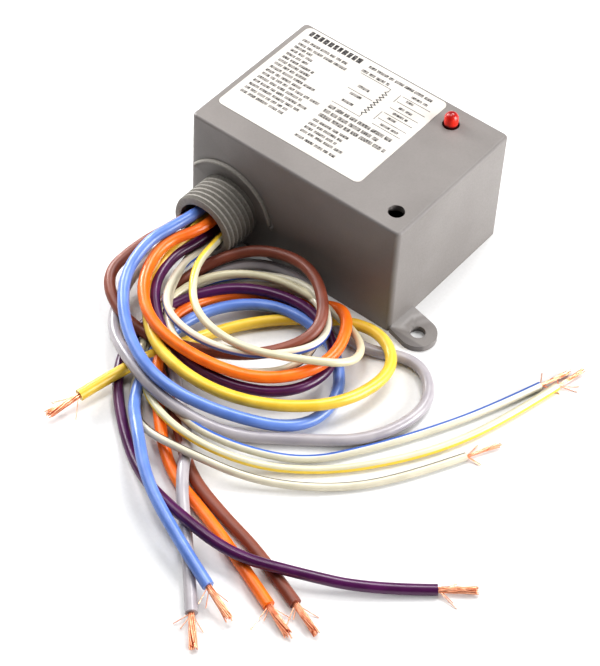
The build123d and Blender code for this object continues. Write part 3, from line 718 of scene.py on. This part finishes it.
def layCurve(name, points, thickness, steps=10):
    # a smooth line through the given points, round when it has a thickness
    curve = bpy.data.curves.new(name, "CURVE")
    curve.dimensions = "3D"
    curve.twist_mode = "Z_UP"
    curve.resolution_u = steps
    curve.bevel_depth = thickness / 2
    curve.bevel_resolution = 4
    curve.use_fill_caps = True
    spline = curve.splines.new("NURBS")
    spline.points.add(len(points) - 1)
    for point, place in zip(spline.points, points):
        point.co = (*place, 1)
    spline.order_u = 3
    spline.use_endpoint_u = True
    piece = bpy.data.objects.new(name, curve)
    bpy.context.collection.objects.link(piece)
    return piece


def meshOf(piece):
    bpy.context.view_layer.update()
    depsgraph = bpy.context.evaluated_depsgraph_get()
    return bpy.data.meshes.new_from_object(piece.evaluated_get(depsgraph))


def strandBundle(name, start, direction, size, seed):
    # bare strands with their last bit of twist, fanned out where the insulation let go
    rng = random.Random(seed)
    stray = strands["stray"]
    lowest = strands["lowest"] * mm
    across = direction.cross(Vector((0, 0, 1))).normalized()
    upwards = across.cross(direction).normalized()
    parts = []
    for i in range(size["count"]):
        # one strand in the middle, six round it, and the rest in the outer ring
        ring = 0 if i == 0 else (1 if i < 7 else 2)
        angle = i * strands["turn"]
        radius = size["reach"] * ring / 2
        fan = strands["splay"] * rng.uniform(*strands["splayShare"])
        length = strands["length"] * rng.uniform(*strands["cutShort"])
        points = []
        for k in range(5):
            along = k / 4
            turned = angle + strands["lay"] * along
            spread = radius * (1 + fan * along * along)
            side = across * math.cos(turned) * spread
            rise = upwards * math.sin(turned) * spread
            place = start + (direction * (length * along) + side + rise) * mm
            place.z = max(place.z, lowest)
            points.append(place)
        parts.append(layCurve(f"{name}Strand", points, size["radius"] * 2 * mm, 3))
    for i in range(strands["strays"]):
        # a few strands were bent aside by the stripping tool and droop to the floor
        away = (-1) ** i * rng.uniform(*stray["away"])
        heading = direction * math.cos(away) + across * math.sin(away)
        length = stray["length"] * rng.uniform(*stray["share"])
        root = start + (across * (stray["apart"] * (i - 1)) + upwards * stray["rise"]) * mm
        points = []
        for run, bend in ((0, 0), (1, 0), (1, 0.35), (1, 0.7), (1, 1.0)):
            out = direction * (stray["straight"] * run) + heading * (length * bend)
            place = root + out * mm
            place.z = max(place.z - (length * bend * stray["droop"]) * mm, lowest)
            points.append(place)
        parts.append(layCurve(f"{name}Stray", points, stray["radius"] * 2 * mm, 4))
    for part in parts:
        part.data.bevel_resolution = 1
    selectOnly(parts[0])
    for part in parts:
        part.select_set(True)
    bpy.ops.object.convert(target="MESH")
    bpy.ops.object.join()
    bundle = bpy.context.object
    bundle.name = name
    mergeDoubles(bundle)  # closes the ends of the strands
    return finishPiece(bundle, copperMaterial, 60)


def makeLead(name, lead):
    points = [Vector(point) * mm for point in lead["route"]]
    diameter = lead["diameter"] * mm
    title = "lead" + "".join(word.capitalize() for word in name.split("_"))
    insulation = leadInsulation("pvcInsulation" + title[4:], lead)
    line = layCurve(title, points, diameter)
    path = None
    if "stripe" in lead:
        # a striped lead is a mesh, because its stripe follows its own UV map
        tube = bpy.data.objects.new(title + "Insulation", meshOf(line))
        line.data.bevel_depth = 0
        path = [vertex.co.copy() for vertex in meshOf(line).vertices]
        bpy.data.objects.remove(line)
        bpy.context.collection.objects.link(tube)
        line = tube
        for face in line.data.polygons:
            face.use_smooth = True
    wear(line, insulation)
    direction = (points[-1] - points[-2]).normalized()
    size = strands["thinLead" if lead["diameter"] < strands["thinBelow"] else "thickLead"]
    # the bundle's seed is its lead's name, so that each end is frayed in its own way
    bundle = strandBundle(title + "Strands", points[-1] - direction * mm, direction, size, title)
    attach(line, "housing")
    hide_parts(f"lead_{name}")
    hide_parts(f"conductor_{name}")
    return line


leadPieces = [makeLead(name, lead) for name, lead in leads.items()]
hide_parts("lead_coil")  # the leads make the coil themselves
print("leads laid,", len(leadPieces))

# the conduit nipple and its thread, on an axis that points out of the front wall
thread = {
    "pitch": 1.814, "turns": 8.4, "depth": 1.05, "crestFlat": 0.55, "steps": 96,
    "axisX": -23.0, "axisZ": 12.5, "radius": 10.67, "bore": 8.2, "edge": 0.6,
    "wall": -27.0, "mouth": nippleMouth,
    "sunk": 0.1,  # how far the nipple goes into the wall
    "overrun": 1.0,  # how far a cutter runs on past what it cuts
    "clear": (0.02, 0.6),  # how far the groove's cutter stands out past the crests
    "room": 0.5, "roomSteps": 48,  # the round hole that the box's own nipple is cut off with
}


def copyNode(node, name):
    piece = bpy.data.objects.new(name, nodes[node].data.copy())
    bpy.context.collection.objects.link(piece)
    mergeDoubles(piece)
    return piece


def roundBar(name, radius, back, front, steps):
    # a plain bar on the nipple's axis
    bpy.ops.object.select_all(action="DESELECT")
    bpy.ops.mesh.primitive_cylinder_add(
        vertices=steps, radius=radius * mm, depth=(back - front) * mm,
        rotation=(math.pi / 2, 0, 0),
        location=(thread["axisX"] * mm, (back + front) / 2 * mm, thread["axisZ"] * mm),
    )
    bar = bpy.context.object
    bar.name = name
    bpy.ops.object.transform_apply(location=True, rotation=True, scale=True)
    return bar


def subtract(piece, cutter):
    cut = piece.modifiers.new("cut", "BOOLEAN")
    cut.operation = "DIFFERENCE"
    cut.solver = "EXACT"
    cut.object = cutter
    applyAll(piece)
    bpy.data.objects.remove(cutter)


def threadGroove():
    # one V-shaped groove wound round the nipple from its mouth to the wall
    half = (thread["pitch"] - thread["crestFlat"]) / 2
    radius, depth = thread["radius"], thread["depth"]
    nearer, farther = thread["clear"]
    bpy.ops.object.select_all(action="DESELECT")
    bpy.ops.mesh.primitive_circle_add(vertices=5, radius=mm, fill_type="NGON")
    groove = bpy.context.object
    profile = [
        (0, radius - depth), (half, radius + nearer), (half, radius + farther),
        (-half, radius + farther), (-half, radius + nearer),
    ]
    for vertex, (along, out) in zip(groove.data.vertices, profile):
        vertex.co = (0, along * mm, out * mm)
    winding = groove.modifiers.new("winding", "SCREW")
    winding.axis = "Y"
    winding.angle = math.tau * thread["turns"]
    winding.screw_offset = thread["pitch"] * thread["turns"] * mm
    winding.steps = winding.render_steps = int(thread["steps"] * thread["turns"])
    applyAll(groove)
    mergeDoubles(groove)
    bpy.ops.object.mode_set(mode="EDIT")
    bpy.ops.mesh.select_all(action="DESELECT")
    bpy.ops.mesh.select_non_manifold()
    bpy.ops.mesh.edge_face_add()
    bpy.ops.mesh.select_all(action="SELECT")
    bpy.ops.mesh.normals_make_consistent(inside=False)
    bpy.ops.object.mode_set(mode="OBJECT")
    start = thread["mouth"] - thread["overrun"]
    groove.location = (thread["axisX"] * mm, start * mm, thread["axisZ"] * mm)
    selectOnly(groove)
    bpy.ops.object.transform_apply(location=True)
    return groove


def threadedNipple():
    # turned out of a round bar: outer edge chamfered, thread cut, then bored
    steps, wall, mouth = thread["steps"], thread["wall"], thread["mouth"]
    past = thread["overrun"]
    nipple = roundBar("threadedNipple", thread["radius"], wall + thread["sunk"], mouth, steps)
    selectOnly(nipple)
    bpy.ops.object.mode_set(mode="EDIT")
    bpy.ops.mesh.select_all(action="DESELECT")
    bpy.ops.object.mode_set(mode="OBJECT")
    for vertex in nipple.data.vertices:
        vertex.select = vertex.co.y < mouth * mm + 1e-6
    bpy.ops.object.mode_set(mode="EDIT")
    bpy.ops.mesh.bevel(offset=thread["edge"] * mm, segments=2)
    bpy.ops.object.mode_set(mode="OBJECT")
    subtract(nipple, threadGroove())
    subtract(nipple, roundBar("bore", thread["bore"], wall + past, mouth - past, steps))
    return finishPiece(nipple, nippleMaterial, 30)


# the stiffening rib on the front wall, from the nub over the nipple to the left corner
rib = {
    "radius": 15.7, "halfWidth": 0.6, "halfRise": 0.8,
    "standOut": 0.42,  # from the wall to the middle of the ridge
    "from": 8.0, "to": 144.5, "sides": 14, "steps": 60,
}


def stiffeningRib():
    # a round-backed ridge swept over the nipple, with its foot sunk into the wall
    start = math.radians(rib["from"])
    sweep = math.radians(rib["to"] - rib["from"])
    centre = Vector((thread["axisX"], thread["wall"] - rib["standOut"], thread["axisZ"])) * mm
    bpy.ops.object.select_all(action="DESELECT")
    bpy.ops.mesh.primitive_circle_add(
        vertices=rib["sides"], radius=rib["halfWidth"] * mm, fill_type="NGON",
        rotation=(0, -start, 0),
        location=centre + Vector((math.cos(start), 0, math.sin(start))) * rib["radius"] * mm,
    )
    ridge = bpy.context.object
    ridge.name = "stiffeningRib"
    ridge.scale = (1, rib["halfRise"] / rib["halfWidth"], 1)
    bpy.ops.object.transform_apply(location=True, rotation=True, scale=True)
    bpy.ops.object.mode_set(mode="EDIT")
    bpy.ops.mesh.select_all(action="SELECT")
    bpy.ops.mesh.spin(steps=rib["steps"], angle=sweep, center=centre, axis=(0, 1, 0))
    bpy.ops.mesh.select_all(action="SELECT")
    bpy.ops.mesh.normals_make_consistent(inside=False)
    bpy.ops.object.mode_set(mode="OBJECT")
    return finishPiece(ridge, nippleMaterial, 50)


def mouldedBox():
    # the box without its nipple, which is cut off at the wall and made again with its thread
    box = copyNode("housing", "mouldedBox")
    radius = thread["radius"] + thread["room"]
    back, front = thread["wall"] - 0.02, thread["mouth"] - thread["overrun"]
    subtract(box, roundBar("nippleRoom", radius, back, front, thread["roomSteps"]))
    settle(box, 38)
    # keeps the flat walls flat beside their edges
    even = box.modifiers.new("evenShading", "WEIGHTED_NORMAL")
    even.keep_sharp = True
    even.weight = 100
    applyAll(box)
    wear(box, boxMaterial)
    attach(box, "housing")
    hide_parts("housing")
    return box


box = mouldedBox()
threadedNipple()
stiffeningRib()
print("box and thread made,", len(box.data.polygons), "faces")

lamp = {
    "radius": 2.12, "foot": 38.4, "flangeRadius": 2.5, "flange": 0.5, "draft": 1.03,
    "segments": 40, "rings": 20,
}


def indicatorLamp():
    # a domed epoxy body with a little draft, standing on its flange in the lid's hole
    low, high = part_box("led_lens")
    radius, draft = lamp["radius"], lamp["draft"]
    centre = Vector(((low[0] + high[0]) / 2, (low[1] + high[1]) / 2, high[2] - radius * mm))
    bpy.ops.object.select_all(action="DESELECT")
    bpy.ops.mesh.primitive_uv_sphere_add(
        segments=lamp["segments"], ring_count=lamp["rings"], radius=radius * mm, location=centre
    )
    lens = bpy.context.object
    lens.name = "indicatorLamp"
    bpy.ops.object.transform_apply(location=True)
    bpy.ops.object.mode_set(mode="EDIT")
    bpy.ops.mesh.select_all(action="SELECT")
    bpy.ops.mesh.bisect(plane_co=centre, plane_no=(0, 0, 1), clear_inner=True)
    bpy.ops.mesh.select_all(action="DESELECT")
    bpy.ops.mesh.select_non_manifold()
    foot = Vector((centre.x, centre.y, lamp["foot"] * mm))
    body = (0, 0, foot.z - centre.z)
    bpy.ops.mesh.extrude_region_move(TRANSFORM_OT_translate={"value": body})
    bpy.ops.transform.resize(value=(draft, draft, 1), center_override=foot)
    bpy.ops.mesh.extrude_region_move(TRANSFORM_OT_translate={"value": (0, 0, 0)})
    widen = lamp["flangeRadius"] / (radius * draft)
    bpy.ops.transform.resize(value=(widen, widen, 1), center_override=foot)
    flange = (0, 0, -lamp["flange"] * mm)
    bpy.ops.mesh.extrude_region_move(TRANSFORM_OT_translate={"value": flange})
    bpy.ops.mesh.edge_face_add()
    bpy.ops.mesh.select_all(action="SELECT")
    bpy.ops.mesh.normals_make_consistent(inside=False)
    bpy.ops.object.mode_set(mode="OBJECT")
    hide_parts("led_lens")
    return finishPiece(lens, lampEpoxy(), 50)


indicatorLamp()
print("lamp set")

labelPrint = {
    "top": 40.5 + 0.12,  # the lid's height and the vinyl's thickness
    "ink": 0.012,
    "title": {
        "left": -33.6, "right": -13.4, "y": 23.6, "height": 2.3, "bar": (1.2, 1.6), "gap": 0.45,
    },
    "word": (1.6, 4.6), "wordGap": (0.38, 0.55), "leastWord": 0.8,
    # bars of greeked text: left edge, row height, then (y, right edge) of each row
    "columns": [
        (-33.6, 1.15, [
            (19.9, -16.6), (17.7, -15.2), (15.9, -26.3), (14.0, -25.4), (12.0, -25.4),
            (10.1, -21.8), (8.2, -21.9), (6.3, -21.0), (4.3, -16.2), (2.3, -20.4), (0.4, -11.2),
            (-1.6, -17.0), (-3.6, -13.4), (-5.6, -14.2), (-7.6, -17.6), (-9.6, -17.2),
        ]),
        (-11.0, 1.2, [(23.4, 12.4)]),
        (-11.8, 1.2, [(20.8, -1.6)]),
        (-8.4, 1.1, [(14.6, -3.4), (10.6, -4.0), (6.7, -3.2)]),
        (-9.6, 1.5, [(2.0, 13.4), (-0.4, 10.4), (-2.7, 14.6)]),
        (-9.6, 1.1, [(-5.5, 3.4), (-7.5, 2.6), (-9.5, 2.1), (-11.4, 6.8), (-14.0, 5.0)]),
        (6.6, 1.0, [
            (21.0, 12.4), (18.4, 9.2), (14.8, 12.2), (11.8, 12.0), (9.2, 9.6), (5.7, 13.0),
        ]),
    ],
    # lines of a plain wiring diagram, as (x, y) points
    "lines": [
        [(-11.2, 19.6), (0, 19.6), (0, 18.2)],
        [(-10.2, 12.0), (-1.2, 12.0)],
        [(-10.2, 4.2), (0, 4.2), (0, 5.4)],
        [(3.8, 19.4), (3.8, 16.0)], [(3.8, 10.2), (3.8, 6.2)],
        [(4.6, 19.4), (14.6, 19.4)], [(4.6, 16.6), (14.6, 16.6)], [(4.6, 13.2), (14.6, 13.2)],
        [(4.6, 10.4), (14.6, 10.4)], [(4.6, 7.4), (14.6, 7.4)], [(4.6, 4.4), (14.6, 4.4)],
    ],
    "coil": {"x": 0, "top": 18.2, "bottom": 5.4, "teeth": 18, "swing": 0.6, "width": 0.34},
    "lineWidth": 0.22,
}


def inkBar(x, y, length, width, angle=0.0):
    # one bar of ink, drawn as a flat slip just proud of the vinyl
    level = (labelPrint["top"] + labelPrint["ink"]) * mm
    bpy.ops.mesh.primitive_plane_add(
        size=mm, location=(x * mm, y * mm, level), rotation=(0, 0, angle)
    )
    bar = bpy.context.object
    bar.scale = (length, width, 1)
    return bar


def joinBars(bars, name, material):
    selectOnly(bars[0])
    for bar in bars:
        bar.select_set(True)
    bpy.ops.object.join()
    piece = bpy.context.object
    piece.name = name
    bpy.ops.object.transform_apply(location=True, rotation=True, scale=True)
    body = piece.modifiers.new("inkBody", "SOLIDIFY")
    body.thickness = labelPrint["ink"] * mm
    body.offset = -1
    applyAll(piece)
    return finishPiece(piece, material)


def printRows():
    # rows of word-long bars, with gaps like those between words
    rng = random.Random(7)
    words = []
    for left, height, rows in labelPrint["columns"]:
        for y, right in rows:
            x = left
            while x < right - labelPrint["leastWord"]:
                length = min(rng.uniform(*labelPrint["word"]), right - x)
                words.append(inkBar(x + length / 2, y, length, height))
                x += length + rng.uniform(*labelPrint["wordGap"])
    return joinBars(words, "labelRows", inkMaterial)


def printDiagram():
    # the title as a row of bold bars, and the lines of the diagram
    title = labelPrint["title"]
    bars = []
    x = title["left"]
    rng = random.Random(3)
    while x < title["right"] - 1:
        width = rng.uniform(*title["bar"])
        bars.append(inkBar(x + width / 2, title["y"], width, title["height"]))
        x += width + title["gap"]
    coil = labelPrint["coil"]
    teeth = coil["teeth"]
    zigzag = []
    for i in range(teeth + 1):
        swing = coil["swing"] * (-1) ** i * (0 < i < teeth)
        drop = (coil["bottom"] - coil["top"]) * i / teeth
        zigzag.append((coil["x"] + swing, coil["top"] + drop))
    drawn = [(line, labelPrint["lineWidth"]) for line in labelPrint["lines"]]
    for line, width in drawn + [(zigzag, coil["width"])]:
        for (x0, y0), (x1, y1) in zip(line, line[1:]):
            length = math.hypot(x1 - x0, y1 - y0) + width
            angle = math.atan2(y1 - y0, x1 - x0)
            bars.append(inkBar((x0 + x1) / 2, (y0 + y1) / 2, length, width, angle))
    return joinBars(bars, "labelDiagram", solidInkMaterial)


printRows()
printDiagram()
print("label printed")

stage = {
    "floor": "e2e2e2", "tooth": "f4f4f4", "floorSize": 6, "sky": 0.115,
    "aim": (0, -0.04, 0.015),
    # place, size in metres and power in watts of each soft box
    "lights": {
        "sideLight": ((1.0, 0.3, 0.45), 0.6, 13),
        "topLight": ((0.0, 0.6, 1.1), 0.5, 8.5),
        "frontTopLight": ((-0.15, -0.1, 1.0), 0.3, 2.2),
        "farSideLight": ((-0.8, -0.1, 0.9), 0.8, 5),
        "nearLight": ((-0.25, 0.0, 0.14), 0.1, 0.6),
        "lowLight": ((0.16, 0.06, 0.01), 0.12, 0.08),
    },
}


def paperSweep():
    # matt white paper with a faint tooth of about 1 mm
    material, place = startMaterial("whitePaperSweep")
    tooth = addNode(material, "TexNoise", {"Vector": place, "Scale": 900.0, "Detail": 2})
    share = addNode(material, "MapRange", {"Value": tooth.outputs["Fac"], "To Max": 0.5})
    base = addNode(
        material, "Mix",
        {0: share.outputs["Result"], 6: toLinear(stage["floor"]), 7: toLinear(stage["tooth"])},
        data_type="RGBA",
    )
    return finishMaterial(material, base.outputs[2], Roughness=0.9)


# the floor lies a hair below the box, so that the two never share a plane
bpy.ops.mesh.primitive_plane_add(size=stage["floorSize"], location=(0, 0, -0.05 * mm))
floor = bpy.context.object
floor.name = "paperFloor"
wear(floor, paperSweep())

world = bpy.data.worlds.new("studio")
bpy.context.scene.world = world
world.use_nodes = True
sky = world.node_tree.nodes["Background"]
sky.inputs["Color"].default_value = (1, 1, 1, 1)
sky.inputs["Strength"].default_value = stage["sky"]

for name, (place, size, power) in stage["lights"].items():
    bpy.ops.object.light_add(type="AREA", location=place)
    softBox = bpy.context.object
    softBox.name = name
    softBox.data.size = size
    softBox.data.energy = power
    softBox.rotation_mode = "QUATERNION"
    facing = (Vector(stage["aim"]) - Vector(place)).to_track_quat("-Z", "Y")
    softBox.rotation_quaternion = facing
    softBox.visible_camera = False  # so that no view shows a glowing panel
print("stage lit")
